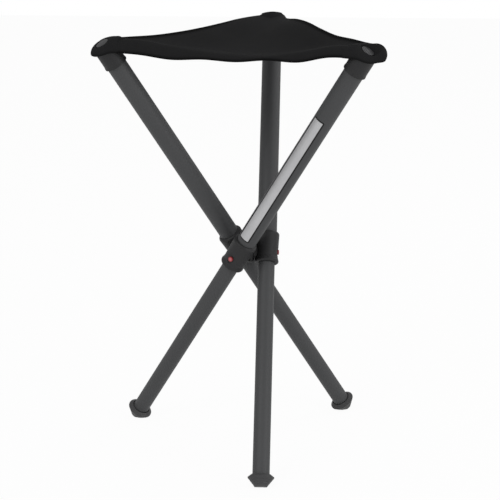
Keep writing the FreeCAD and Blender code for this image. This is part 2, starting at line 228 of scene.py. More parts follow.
def makeGrain():
    # Two noises: a fine one gives the height of the grain, a broad one the slow change in tone
    tree, given, out = newGroup(
        "surfaceGrain",
        [("Place", "NodeSocketVector", None), ("Fine", "NodeSocketFloat", 1800.0),
         ("Broad", "NodeSocketFloat", 14.0), ("Spread", "NodeSocketFloat", 0.12)],
        [("Height", "NodeSocketFloat"), ("Tone", "NodeSocketFloat")])
    fine = addNode(tree, "ShaderNodeTexNoise", (-500, 200), Detail=2.0, Roughness=0.6)
    broad = addNode(tree, "ShaderNodeTexNoise", (-500, -200), Detail=5.0, Roughness=0.55)
    low = addNode(tree, "ShaderNodeMath", (-200, -350), operation="SUBTRACT")
    low.inputs[0].default_value = 1.0
    high = addNode(tree, "ShaderNodeMath", (-200, -500), operation="ADD")
    high.inputs[0].default_value = 1.0
    tone = addNode(tree, "ShaderNodeMapRange", (200, -200))
    tree.links.new(given.outputs["Place"], fine.inputs["Vector"])
    tree.links.new(given.outputs["Fine"], fine.inputs["Scale"])
    tree.links.new(given.outputs["Place"], broad.inputs["Vector"])
    tree.links.new(given.outputs["Broad"], broad.inputs["Scale"])
    tree.links.new(given.outputs["Spread"], low.inputs[1])
    tree.links.new(given.outputs["Spread"], high.inputs[1])
    tree.links.new(broad.outputs[0], tone.inputs["Value"])
    tone.inputs["From Min"].default_value = 0.3
    tone.inputs["From Max"].default_value = 0.7
    tree.links.new(low.outputs[0], tone.inputs["To Min"])
    tree.links.new(high.outputs[0], tone.inputs["To Max"])
    tree.links.new(fine.outputs[0], out.inputs["Height"])
    tree.links.new(tone.outputs["Result"], out.inputs["Tone"])
    return tree


def makeDust():
    # Dust is thick near the floor and patchy: a falling ramp in Z times a noise, times the amount
    tree, given, out = newGroup(
        "floorDust",
        [("Place", "NodeSocketVector", None), ("Top", "NodeSocketFloat", 0.04),
         ("Amount", "NodeSocketFloat", 0.3)],
        [("Mask", "NodeSocketFloat")])
    split = addNode(tree, "ShaderNodeSeparateXYZ", (-600, 200))
    ramp = addNode(tree, "ShaderNodeMapRange", (-300, 200))
    ramp.inputs["To Min"].default_value = 1.0
    ramp.inputs["To Max"].default_value = 0.0
    noise = addNode(tree, "ShaderNodeTexNoise", (-600, -200), Scale=160.0, Detail=6.0)
    patch = addNode(tree, "ShaderNodeMapRange", (-300, -200))
    patch.inputs["From Min"].default_value = 0.42
    patch.inputs["From Max"].default_value = 0.72
    both = addNode(tree, "ShaderNodeMath", (100, 0), operation="MULTIPLY")
    last = addNode(tree, "ShaderNodeMath", (400, 0), operation="MULTIPLY")
    tree.links.new(given.outputs["Place"], split.inputs[0])
    tree.links.new(split.outputs["Z"], ramp.inputs["Value"])
    tree.links.new(given.outputs["Top"], ramp.inputs["From Max"])
    tree.links.new(given.outputs["Place"], noise.inputs["Vector"])
    tree.links.new(noise.outputs[0], patch.inputs["Value"])
    tree.links.new(ramp.outputs["Result"], both.inputs[0])
    tree.links.new(patch.outputs["Result"], both.inputs[1])
    tree.links.new(both.outputs[0], last.inputs[0])
    tree.links.new(given.outputs["Amount"], last.inputs[1])
    tree.links.new(last.outputs[0], out.inputs["Mask"])
    return tree


def makeWeave():
    # Plain weave: the height is |sin v| where sin u sin v is over nought and |sin u| elsewhere, with
    # u and v the place on the map times the threads in a metre, times pi
    tree, given, out = newGroup(
        "plainWeave",
        [("Place", "NodeSocketVector", None), ("Threads", "NodeSocketFloat", 1600.0)],
        [("Height", "NodeSocketFloat"), ("Tone", "NodeSocketFloat")])
    scaled = addNode(tree, "ShaderNodeVectorMath", (-700, 0), operation="SCALE")
    split = addNode(tree, "ShaderNodeSeparateXYZ", (-500, 0))
    tree.links.new(given.outputs["Place"], scaled.inputs[0])
    tree.links.new(given.outputs["Threads"], scaled.inputs["Scale"])
    tree.links.new(scaled.outputs[0], split.inputs[0])
    waves = []
    for row, axis in enumerate("XY"):
        turn = addNode(tree, "ShaderNodeMath", (-350, 200 - 300 * row), operation="MULTIPLY")
        turn.inputs[1].default_value = math.pi
        wave = addNode(tree, "ShaderNodeMath", (-200, 200 - 300 * row), operation="SINE")
        rounded = addNode(tree, "ShaderNodeMath", (-50, 200 - 300 * row), operation="ABSOLUTE")
        tree.links.new(split.outputs[axis], turn.inputs[0])
        tree.links.new(turn.outputs[0], wave.inputs[0])
        tree.links.new(wave.outputs[0], rounded.inputs[0])
        waves.append((wave, rounded))
    side = addNode(tree, "ShaderNodeMath", (100, 300), operation="MULTIPLY")
    over = addNode(tree, "ShaderNodeMath", (250, 300), operation="GREATER_THAN")
    over.inputs[1].default_value = 0.0
    pick = addNode(tree, "ShaderNodeMix", (450, 0), data_type="FLOAT")
    tree.links.new(waves[0][0].outputs[0], side.inputs[0])
    tree.links.new(waves[1][0].outputs[0], side.inputs[1])
    tree.links.new(side.outputs[0], over.inputs[0])
    tree.links.new(over.outputs[0], pick.inputs[0])
    tree.links.new(waves[0][1].outputs[0], pick.inputs[2])
    tree.links.new(waves[1][1].outputs[0], pick.inputs[3])
    # Painted shade: the tone follows the weave's height, darker between the threads and lighter on their
    # crowns
    tone = addNode(tree, "ShaderNodeMapRange", (650, -200))
    tone.inputs["To Min"].default_value = 0.8
    tone.inputs["To Max"].default_value = 1.12
    tree.links.new(pick.outputs[0], out.inputs["Height"])
    tree.links.new(pick.outputs[0], tone.inputs["Value"])
    tree.links.new(tone.outputs["Result"], out.inputs["Tone"])
    return tree


grainGroup = makeGrain()
dustGroup = makeDust()
weaveGroup = makeWeave()


def startMaterial(name):
    material = bpy.data.materials.new(name)
    material.use_nodes = True
    tree = material.node_tree
    tree.nodes.clear()
    out = addNode(tree, "ShaderNodeOutputMaterial", (900, 0))
    shader = addNode(tree, "ShaderNodeBsdfPrincipled", (600, 0))
    tree.links.new(shader.outputs[0], out.inputs[0])
    place = addNode(tree, "ShaderNodeTexCoord", (-1200, 0)).outputs["Object"]
    return material, tree, shader, place


def addGroup(tree, group, place, **values):
    node = addNode(tree, "ShaderNodeGroup", (-900, 0))
    node.node_tree = group
    tree.links.new(place, node.inputs["Place"])
    for key, value in values.items():
        node.inputs[key].default_value = value
    return node


def addGrain(tree, place, v):
    return addGroup(tree, grainGroup, place, Fine=v["fine"], Broad=v["broad"], Spread=v["spread"])


def toned(tree, colour, tone):
    # Colour times a tone near one
    mix = addNode(tree, "ShaderNodeVectorMath", (100, 200), operation="SCALE")
    mix.inputs[0].default_value = colour
    tree.links.new(tone, mix.inputs["Scale"])
    return mix.outputs[0]


def bumped(tree, shader, height, strength, distance):
    bump = addNode(tree, "ShaderNodeBump", (350, -300), Strength=strength, Distance=distance)
    tree.links.new(height, bump.inputs["Height"])
    tree.links.new(bump.outputs[0], shader.inputs["Normal"])


def roughened(tree, shader, tone, roughness, swing):
    # Roughness moves with the tone, by the swing at most
    node = addNode(tree, "ShaderNodeMapRange", (350, -100))
    node.inputs["From Min"].default_value = 0.85
    node.inputs["From Max"].default_value = 1.15
    node.inputs["To Min"].default_value = roughness - swing
    node.inputs["To Max"].default_value = roughness + swing
    tree.links.new(tone, node.inputs["Value"])
    tree.links.new(node.outputs["Result"], shader.inputs["Roughness"])


finishValues = {
    "satinTube": {
        "colour": (0.057, 0.058, 0.060), "rough": 0.58, "swing": 0.04, "metal": 0.12, "shine": 0.4,
        "fine": 2600.0, "broad": 9.0, "spread": 0.05, "bump": 0.06, "depth": 0.00005},
    "blackMoulding": {
        "colour": (0.017, 0.017, 0.018), "rough": 0.55, "swing": 0.05, "metal": 0.0, "shine": 0.35,
        "fine": 1500.0, "broad": 22.0, "spread": 0.08, "bump": 0.16, "depth": 0.0001},
    "screwHead": {
        "colour": (0.040, 0.040, 0.042), "rough": 0.5, "swing": 0.05, "metal": 0.1, "shine": 0.4,
        "fine": 2200.0, "broad": 60.0, "spread": 0.05, "bump": 0.03, "depth": 0.00005},
    "pinSteel": {
        "colour": (0.42, 0.42, 0.43), "rough": 0.3, "swing": 0.05, "metal": 1.0, "shine": 0.5,
        "fine": 1800.0, "broad": 50.0, "spread": 0.08, "bump": 0.05, "depth": 0.00004},
    "paleBush": {
        "colour": (0.55, 0.55, 0.52), "rough": 0.45, "swing": 0.05, "metal": 0.0, "shine": 0.5,
        "fine": 1600.0, "broad": 30.0, "spread": 0.06, "bump": 0.08, "depth": 0.00006},
}


def plainFinish(name, v):
    material, tree, shader, place = startMaterial(name)
    grain = addGrain(tree, place, v)
    tree.links.new(toned(tree, v["colour"], grain.outputs["Tone"]), shader.inputs["Base Color"])
    roughened(tree, shader, grain.outputs["Tone"], v["rough"], v["swing"])
    shader.inputs["Metallic"].default_value = v["metal"]
    shader.inputs["Specular IOR Level"].default_value = v["shine"]
    bumped(tree, shader, grain.outputs["Height"], v["bump"], v["depth"])
    return material


footValues = {
    "colour": (0.045, 0.045, 0.047), "dust": (0.16, 0.155, 0.145), "rough": 0.62, "swing": 0.06,
    "shine": 0.4, "fine": 1400.0, "broad": 40.0, "spread": 0.12, "bump": 0.3, "depth": 0.00012,
    "dustTop": 0.016,      # level at which the dust ends
    "dustAmount": 0.35,
}


def footFinish(v):
    material, tree, shader, place = startMaterial("footRubber")
    grain = addGrain(tree, place, v)
    dust = addGroup(tree, dustGroup, place, Top=v["dustTop"], Amount=v["dustAmount"])
    mix = addNode(tree, "ShaderNodeMix", (300, 200), data_type="RGBA")
    tree.links.new(dust.outputs["Mask"], mix.inputs[0])
    tree.links.new(toned(tree, v["colour"], grain.outputs["Tone"]), mix.inputs[6])
    mix.inputs[7].default_value = (*v["dust"], 1)
    tree.links.new(mix.outputs[2], shader.inputs["Base Color"])
    roughened(tree, shader, grain.outputs["Tone"], v["rough"], v["swing"])
    shader.inputs["Specular IOR Level"].default_value = v["shine"]
    bumped(tree, shader, grain.outputs["Height"], v["bump"], v["depth"])
    return material


clothValues = {
    "colour": (0.0145, 0.0145, 0.015), "rough": 0.85, "swing": 0.06, "shine": 0.05,
    "fine": 420.0, "broad": 16.0, "spread": 0.14, "bump": 0.3, "depth": 0.0001,
    "binding": 0.3,        # share of the colour that the binding and the painted shade on raised rims have
    "threads": 1900.0,     # in a metre
}


def clothFinish(v):
    # Weave on the piece's own map, which runs in metres over the cloth, times a slow change in
    # tone, times a darker share where the attribute holds the binding and the painted shade of raised rims
    material, tree, shader, place = startMaterial("seatCloth")
    laid = addNode(tree, "ShaderNodeUVMap", (-1200, -300))
    laid.uv_map = "clothMap"
    weave = addGroup(tree, weaveGroup, laid.outputs[0], Threads=v["threads"])
    grain = addGrain(tree, place, v)
    tone = addNode(tree, "ShaderNodeMath", (-100, 200), operation="MULTIPLY")
    tree.links.new(weave.outputs["Tone"], tone.inputs[0])
    tree.links.new(grain.outputs["Tone"], tone.inputs[1])
    # Attribute that holds the binding and the painted shade of raised rims
    edgeBand = addNode(tree, "ShaderNodeAttribute", (-700, 500), attribute_name="edgeTape")
    darker = addNode(tree, "ShaderNodeMapRange", (-400, 500))
    darker.inputs["To Min"].default_value = 1.0
    darker.inputs["To Max"].default_value = v["binding"]
    both = addNode(tree, "ShaderNodeMath", (-50, 400), operation="MULTIPLY")
    tree.links.new(edgeBand.outputs["Fac"], darker.inputs["Value"])
    tree.links.new(tone.outputs[0], both.inputs[0])
    tree.links.new(darker.outputs["Result"], both.inputs[1])
    tree.links.new(toned(tree, v["colour"], both.outputs[0]), shader.inputs["Base Color"])
    roughened(tree, shader, grain.outputs["Tone"], v["rough"], v["swing"])
    shader.inputs["Specular IOR Level"].default_value = v["shine"]
    bumped(tree, shader, weave.outputs["Height"], v["bump"], v["depth"])
    return material


def ramped(tree, value, low, high):
    # 0 below low, 1 above high and straight between
    node = addNode(tree, "ShaderNodeMapRange", (-200, -500))
    node.inputs["From Min"].default_value = low
    node.inputs["From Max"].default_value = high
    tree.links.new(value, node.inputs["Value"])
    return node.outputs["Result"]


def mixed(tree, share, first, second):
    # First colour at share 0, second at 1
    node = addNode(tree, "ShaderNodeMix", (300, 300), data_type="RGBA")
    tree.links.new(share, node.inputs[0])
    for socket, colour in ((node.inputs[6], first), (node.inputs[7], second)):
        if hasattr(colour, "is_output"):
            tree.links.new(colour, socket)
        else:
            socket.default_value = (*colour, 1)
    return node.outputs[2]


labelValues = {
    "film": (0.50, 0.50, 0.51), "line": (0.006, 0.006, 0.0065), "rough": 0.36, "swing": 0.04,
    "metal": 0.55, "fine": 900.0, "broad": 25.0, "spread": 0.06, "bump": 0.06, "depth": 0.00005,
    "middle": 130.6,       # along the leg from its pin
    "halfLength": 96.7,    # of the film inside its border
    "halfWidth": 6.5,
    "turned": 4.0,         # degrees round the tube
    "soft": 0.15,          # half width of the border's soft edge
}


def labelFinish(v):
    # Bare silver film with a thin dark border: the border lies where the distance from the film's
    # middle, along the tube or across it, is over the half length or the half width
    material, tree, shader, place = startMaterial("silverFilm")
    grain = addGrain(tree, place, v)
    out, along = legAxes(1)
    angle = math.radians(v["turned"])
    sideways = math.sin(angle) * out + math.cos(angle) * np.cross(along, out)
    masks = []
    for direction, middle, half in ((along, v["middle"], v["halfLength"]), (sideways, 0.0, v["halfWidth"])):
        run = addNode(tree, "ShaderNodeVectorMath", (-900, -500), operation="DOT_PRODUCT")
        run.inputs[1].default_value = direction
        tree.links.new(place, run.inputs[0])
        away = addNode(tree, "ShaderNodeMath", (-700, -500), operation="SUBTRACT")
        away.inputs[1].default_value = (float(legPoint(1, 0) @ direction) + middle) / 1000
        tree.links.new(run.outputs["Value"], away.inputs[0])
        size = addNode(tree, "ShaderNodeMath", (-500, -500), operation="ABSOLUTE")
        tree.links.new(away.outputs[0], size.inputs[0])
        masks.append(ramped(tree, size.outputs[0], (half - v["soft"]) / 1000, (half + v["soft"]) / 1000))
    border = addNode(tree, "ShaderNodeMath", (0, -500), operation="MAXIMUM")
    tree.links.new(masks[0], border.inputs[0])
    tree.links.new(masks[1], border.inputs[1])
    film = toned(tree, v["film"], grain.outputs["Tone"])
    tree.links.new(mixed(tree, border.outputs[0], film, v["line"]), shader.inputs["Base Color"])
    roughened(tree, shader, grain.outputs["Tone"], v["rough"], v["swing"])
    shader.inputs["Metallic"].default_value = v["metal"]
    bumped(tree, shader, grain.outputs["Height"], v["bump"], v["depth"])
    return material


buttonValues = {
    # The middle colour is a painted highlight and the edge colour a painted shade round the rim
    "middle": (0.50, 0.13, 0.14), "edge": (0.23, 0.012, 0.016), "rough": 0.36, "swing": 0.04,
    "fine": 2400.0, "broad": 60.0, "spread": 0.06, "bump": 0.05, "depth": 0.00004,
    "from": 1.5,           # distances from the axis between which the colour changes
    "to": 2.9,
}


def buttonFinish(number, v):
    # Painted highlight in the middle and painted shade at the edge: paler in the middle than at the edge,
    # by the distance from the button's axis, which is the length of the cross product of the place, taken
    # from the hub, and the axis
    material, tree, shader, place = startMaterial("redButton%d" % number)
    grain = addGrain(tree, place, v)
    fromHub = addNode(tree, "ShaderNodeVectorMath", (-900, -500), operation="SUBTRACT")
    fromHub.inputs[1].default_value = (0, 0, legValues["hub"] / 1000)
    across = addNode(tree, "ShaderNodeVectorMath", (-700, -500), operation="CROSS_PRODUCT")
    across.inputs[1].default_value = legAxes(number)[0]
    away = addNode(tree, "ShaderNodeVectorMath", (-500, -500), operation="LENGTH")
    tree.links.new(place, fromHub.inputs[0])
    tree.links.new(fromHub.outputs[0], across.inputs[0])
    tree.links.new(across.outputs[0], away.inputs[0])
    share = ramped(tree, away.outputs["Value"], v["from"] / 1000, v["to"] / 1000)
    # Painted highlight in the middle, fading to painted shade at the edge
    colour = mixed(tree, share, v["middle"], v["edge"])
    tint = addNode(tree, "ShaderNodeVectorMath", (450, 200), operation="SCALE")
    tree.links.new(colour, tint.inputs[0])
    tree.links.new(grain.outputs["Tone"], tint.inputs["Scale"])
    tree.links.new(tint.outputs[0], shader.inputs["Base Color"])
    roughened(tree, shader, grain.outputs["Tone"], v["rough"], v["swing"])
    bumped(tree, shader, grain.outputs["Height"], v["bump"], v["depth"])
    return material


finishes = {name: plainFinish(name, v) for name, v in finishValues.items()}
finishes["footRubber"] = footFinish(footValues)
finishes["seatCloth"] = clothFinish(clothValues)
finishes["silverFilm"] = labelFinish(labelValues)
for number in (1, 2, 3):
    finishes["redButton%d" % number] = buttonFinish(number, buttonValues)

nodeFinish = {
    "hub_core": "blackMoulding", "pivot_pins": "pinSteel", "label": "silverFilm",
    "sleeve": "blackMoulding", "upper_tube": "satinTube", "top_cap": "blackMoulding",
    "seat_screw": "screwHead", "seat_pocket": "seatCloth", "lower_tube": "satinTube",
    "glide_bush": "paleBush", "lock_clip": "pinSteel", "foot": "footRubber",
    "release_button": "redButton", "seat_panel": "seatCloth",
}

for name, node in nodes.items():
    key = name if name in nodeFinish else name.rsplit("_", 1)[0]
    finish = nodeFinish[key] + (name[-1] if key == "release_button" else "")
    node.data.materials.clear()
    node.data.materials.append(finishes[finish])
print("finishes given")


# Cloth seat
cornerPoint = {i: legPoint(i, legValues["end"]) for i in (1, 2, 3)}
cornerRadius = float(np.hypot(*cornerPoint[2][:2]))
cornerBearing = {i: math.degrees(math.atan2(cornerPoint[i][1], cornerPoint[i][0])) for i in (1, 2, 3)}
tipLevel = float(cornerPoint[2][2])

seatValues = {
    "reach": 11.0,         # from a corner inwards to the panel's end
    "halfWidth": 10.0,     # of the cloth's crest at a corner
    "thick": 2.2,
    "middle": -34.0,       # level that the middle is drawn towards, from the corners' level
    "pull": 0.00055,       # strength of that draw
    "nearest": 0.02,       # least distance from an edge that is reckoned with
    "turn": 118.0,         # degrees the edge curls through
    "lipWidth": 3.0,       # of the bound edge's raised rim
    "tape": 3.0,           # width of the edge's binding
    "rimFull": 2.4,        # height of a rim whose painted shade shows in full
    "rays": 64,            # of the grid along half an edge
    "rings": 70,           # from the middle to the edge
    "curl": 16,            # round the turned edge
    "cross": 17,           # across the end at a corner
    "crowd": 1.5,          # how closely the rings lie near the edge
    "topSoft": 0.4,        # fading of the painted shade on the top, and of the binding on the hem
    "hemSoft": 0.5,
    "sharp": 55,           # degrees above which an edge stays sharp
}

# Each edge runs anticlockwise from one corner to the next, drawn in by its inset at the middle.
# Its levels are at even steps along it: crest of the cloth, height of the hanging edge, how far
# it bulges, raised rim. The crests and the front hem come from fitting scripts that matched them
# to the seat's outline in the photo, and were then rounded and partly changed by hand.
edgeValues = {
    "front": {"bearing": cornerBearing[1] - 60, "inset": 21.0,
              "crest": (7.0, 5.5, -2.0, -7.5, -11.5, -10.5, -4.5, 4.5, 7.5),
              "hem": (15.0, 17.0, 15.5, 9.5, 7.8, 5.4, 11.7, 12.6, 14.5),
              "bulge": (8.0, 10.0, 12.0, 12.5, 11.5, 11.5, 12.0, 10.0, 8.0),
              "rim": (0.0, -0.5, -0.8, -0.7, -0.4, -0.5, -0.8, -0.7, -0.2)},
    "right": {"bearing": cornerBearing[1] + 60, "inset": 13.0,
              "crest": (7.0, 8.3, 7.9, 10.8, 13.6, 12.2, 7.4, 3.5, 2.4),
              "hem": (14.5, 13.0, 9.0, 7.5, 8.5, 9.0, 9.0, 11.0, 12.0),
              "bulge": (8.0, 8.0, 6.0, 5.0, 5.0, 5.0, 6.0, 8.0, 8.0),
              "rim": (1.6, 3.6, 3.4, 2.8, 2.8, 2.2, 1.2, 0.2, 0.0)},
    "left": {"bearing": cornerBearing[2] + 60, "inset": 15.0,
             "crest": (1.4, 4.2, 5.4, 4.5, 3.2, 2.3, 2.2, 3.7, 4.9),
             "hem": (12.0, 11.0, 9.0, 8.0, 7.5, 7.5, 8.0, 11.0, 14.5),
             "bulge": (8.0, 8.0, 6.0, 5.0, 5.0, 5.0, 6.0, 8.0, 8.0),
             "rim": (0.0, 0.3, 0.8, 2.0, 3.2, 3.6, 3.8, 3.2, 0.6)},
}


def alongEdge(share, levels):
    # Catmull-Rom curve through the given levels, at shares from -1 to 1
    spans = len(levels) - 1
    place = np.clip((np.asarray(share) + 1) / 2 * spans, 0, spans - 1e-6)
    i = place.astype(int)
    t = place - i
    line = np.concatenate([[2 * levels[0] - levels[1]], levels, [2 * levels[-1] - levels[-2]]])
    a, b, c, d = line[i], line[i + 1], line[i + 2], line[i + 3]
    second = 2 * a - 5 * b + 4 * c - d
    third = 3 * b - a - 3 * c + d
    return 0.5 * (2 * b + (c - a) * t + second * t ** 2 + third * t ** 3)


def edgeCircle(v):
    # The edge is an arc through two corner points and a middle drawn in by the inset
    half = cornerRadius / 2
    endOut = half + seatValues["halfWidth"] * math.sin(math.radians(60))
    endAlong = cornerRadius * math.sin(math.radians(60)) - seatValues["halfWidth"] * 0.5
    middle = half - v["inset"]
    sag = endOut - middle
    radius = (endAlong ** 2 + sag ** 2) / (2 * sag)
    return middle + radius, radius, math.atan2(endAlong, middle + radius - endOut)


def edgeFrame(v):
    # Plan directions of an edge: outward at its middle, and anticlockwise along it
    angle = math.radians(v["bearing"])
    return np.array((math.cos(angle), math.sin(angle))), np.array((-math.sin(angle), math.cos(angle)))


def edgePoint(v, share):
    # Plan points of the edge's crest at shares from -1 to 1, and the outward directions there
    centre, radius, most = edgeCircle(v)
    outward, along = edgeFrame(v)
    turn = share * most
    reach = centre - radius * np.cos(turn)
    place = reach[..., None] * outward + (radius * np.sin(turn))[..., None] * along
    normal = np.cos(turn)[..., None] * outward - np.sin(turn)[..., None] * along
    return place, normal


def edgeMeasure(v, plan):
    # Distance inwards from the edge, which is that from the arc's centre less its radius, and the
    # share along the edge
    centre, radius, most = edgeCircle(v)
    outward, along = edgeFrame(v)
    n = centre - plan @ outward
    q = plan @ along
    return np.hypot(n, q) - radius, np.arctan2(q, n) / most


def clothLevel(plan):
    # Level of the cloth: mean of the three edges' levels weighted by 1 / distance squared,
    # with a constant weight that draws the middle down; a bell curve of the distance makes the rims
    total = np.full(plan.shape[:-1], seatValues["pull"])
    level = total * seatValues["middle"]
    rims = np.zeros(plan.shape[:-1])
    for v in edgeValues.values():
        gap, share = edgeMeasure(v, plan)
        share = np.clip(share, -1, 1)
        weight = 1 / np.maximum(gap, seatValues["nearest"]) ** 2
        rim = alongEdge(share, v["rim"])
        total = total + weight
        level = level + weight * (alongEdge(share, v["crest"]) - rim)
        rims = rims + rim * np.exp(-(np.maximum(gap, 0) / seatValues["lipWidth"]) ** 2)
    return tipLevel + level / total + rims


def gridFaces(rows, columns, base=0):
    # Quads between neighbouring rows and columns of a grid of vertices
    i = np.arange(rows - 1)[:, None]
    j = np.arange(columns - 1)[None, :]
    corner = i * columns + j
    quads = np.stack([corner, corner + 1, corner + columns + 1, corner + columns], -1)
    return quads.reshape(-1, 4) + base


def makePiece(name, points, faces, laid, tape, finish):
    # Mesh from points in mm, with the cloth's own map taken from laid (metres) and the share of the darker
    # band, which is binding and painted shade
    mesh = bpy.data.meshes.new(name)
    mesh.from_pydata((points / 1000).tolist(), [], faces.tolist())
    loops = np.zeros(len(mesh.loops), np.int32)
    mesh.loops.foreach_get("vertex_index", loops)
    layer = mesh.uv_layers.new(name="clothMap")
    layer.data.foreach_set("uv", laid[loops].astype(np.float32).ravel())
    mask = mesh.attributes.new("edgeTape", "FLOAT", "POINT")
    mask.data.foreach_set("value", tape.astype(np.float32))
    work = bmesh.new()
    work.from_mesh(mesh)
    bmesh.ops.remove_doubles(work, verts=work.verts, dist=2e-6)
    bmesh.ops.dissolve_degenerate(work, edges=work.edges, dist=1e-6)
    bmesh.ops.recalc_face_normals(work, faces=work.faces)
    work.to_mesh(mesh)
    work.free()
    mesh.materials.append(finish)
    piece = bpy.data.objects.new(name, mesh)
    bpy.context.scene.collection.objects.link(piece)
    return piece


def finishMesh(piece, sharp):
    # Bake the modifiers into the mesh, smooth it and keep edges sharper than the angle
    bpy.context.view_layer.update()
    ready = bpy.data.meshes.new_from_object(piece.evaluated_get(bpy.context.evaluated_depsgraph_get()))
    piece.modifiers.clear()
    piece.data = ready
    ready.shade_smooth()
    ready.set_sharp_from_angle(angle=math.radians(sharp))


def panelEdges(number):
    # The edge that reaches a corner and the one that leaves it
    def turnedBy(v, step):
        return abs((v["bearing"] + step - cornerBearing[number] + 180) % 360 - 180)
    before = [v for v in edgeValues.values() if turnedBy(v, 60) < 1][0]
    after = [v for v in edgeValues.values() if turnedBy(v, -60) < 1][0]
    return before, after


def panelEnds(number):
    # Shares along the two edges at which they reach the panel's end
    before, after = panelEdges(number)
    angle = math.radians(cornerBearing[number])
    direction = np.array((math.cos(angle), math.sin(angle)))
    end = cornerRadius - seatValues["reach"]
    shares = np.linspace(0, 1, 801)
    firstEnd = float(np.interp(end, edgePoint(before, shares)[0] @ direction, shares))
    secondEnd = float(np.interp(end, edgePoint(after, -shares)[0] @ direction, shares))
    return before, firstEnd, after, -secondEnd


def wholeDrop(hem):
    # Factor of (1 - cos) of the turn that lets the curl end at the hem's height
    return hem / (1 - math.cos(math.radians(seatValues["turn"])))


def seatPanel(number):
    # Fan of rays from the middle to the edge; beyond the crest the edge turns down and under:
    # outward by bulge times sin, down by the whole drop times (1 - cos) of its turn
    before, firstEnd, after, secondEnd = panelEnds(number)
    rays, rings, curl = seatValues["rays"], seatValues["rings"], seatValues["curl"]
    sharesA = np.linspace(0, firstEnd, rays)
    sharesB = np.linspace(secondEnd, 0, rays)
    placeA, normalA = edgePoint(before, sharesA)
    placeB, normalB = edgePoint(after, sharesB)
    cross = np.linspace(0, 1, seatValues["cross"])[1:-1, None]
    placeE = placeA[-1] * (1 - cross) + placeB[0] * cross
    rim = np.concatenate([placeA, placeE, placeB])
    reach = 1 - (1 - np.linspace(0, 1, rings)) ** seatValues["crowd"]
    plan = reach[:, None, None] * rim[None]
    # Painted shade: the top is darkened near an edge only where its rim stands up, as the shade on the
    # rim's inner face
    darkBand = np.zeros(plan.shape[:-1])
    for v in (before, after):
        gap, share = edgeMeasure(v, plan)
        stands = np.clip(alongEdge(np.clip(share, -1, 1), v["rim"]) / seatValues["rimFull"], 0, 1)
        fading = 1 + np.exp((gap - seatValues["lipWidth"]) / seatValues["topSoft"])
        darkBand = np.maximum(darkBand, stands / fading)
    level = clothLevel(plan)
    points = [np.concatenate([plan, level[..., None]], -1).reshape(-1, 3)]
    laid = [plan.reshape(-1, 2)]
    tape = [darkBand.ravel()]
    faces = [gridFaces(rings, len(rim))]
    turn = np.radians(np.linspace(0, seatValues["turn"], curl))[:, None]
    base = rings * len(rim)
    for place, normal, shares, v in ((placeA, normalA, sharesA, before), (placeB, normalB, sharesB, after)):
        drop = wholeDrop(alongEdge(shares, v["hem"]))
        crest = clothLevel(place)
        bulge = alongEdge(shares, v["bulge"])
        flat = place[None] + normal[None] * (bulge[None] * np.sin(turn))[..., None]
        down = crest[None] - drop[None] * (1 - np.cos(turn))
        strip = np.concatenate([flat, down[..., None]], -1)
        points.append(strip.reshape(-1, 3))
        run = (turn * (drop[None] + bulge[None]) / 2)[..., None] * normal[None] + place[None]
        laid.append(run.reshape(-1, 2))
        # The turned edge is darker near its lower edge for the binding, and all over where its rim stands
        # up, as painted shade
        above = down - down[-1]
        stands = np.clip(alongEdge(shares, v["rim"]) / seatValues["rimFull"], 0, 1)
        edgeBand = 1 / (1 + np.exp((above - seatValues["tape"]) / seatValues["hemSoft"]))
        tape.append(np.maximum(edgeBand, stands[None]).ravel())
        faces.append(gridFaces(curl, len(shares), base))
        base += curl * len(shares)
    piece = makePiece("seatPanel%d" % number, np.concatenate(points), np.concatenate(faces),
                      np.concatenate(laid) / 1000, np.concatenate(tape), finishes["seatCloth"])
    if sum(face.normal.z * face.area for face in piece.data.polygons) < 0:
        piece.data.flip_normals()
    wall = piece.modifiers.new("clothWall", "SOLIDIFY")
    wall.thickness = seatValues["thick"] / 1000
    wall.offset = -1
    finishMesh(piece, seatValues["sharp"])
    return piece


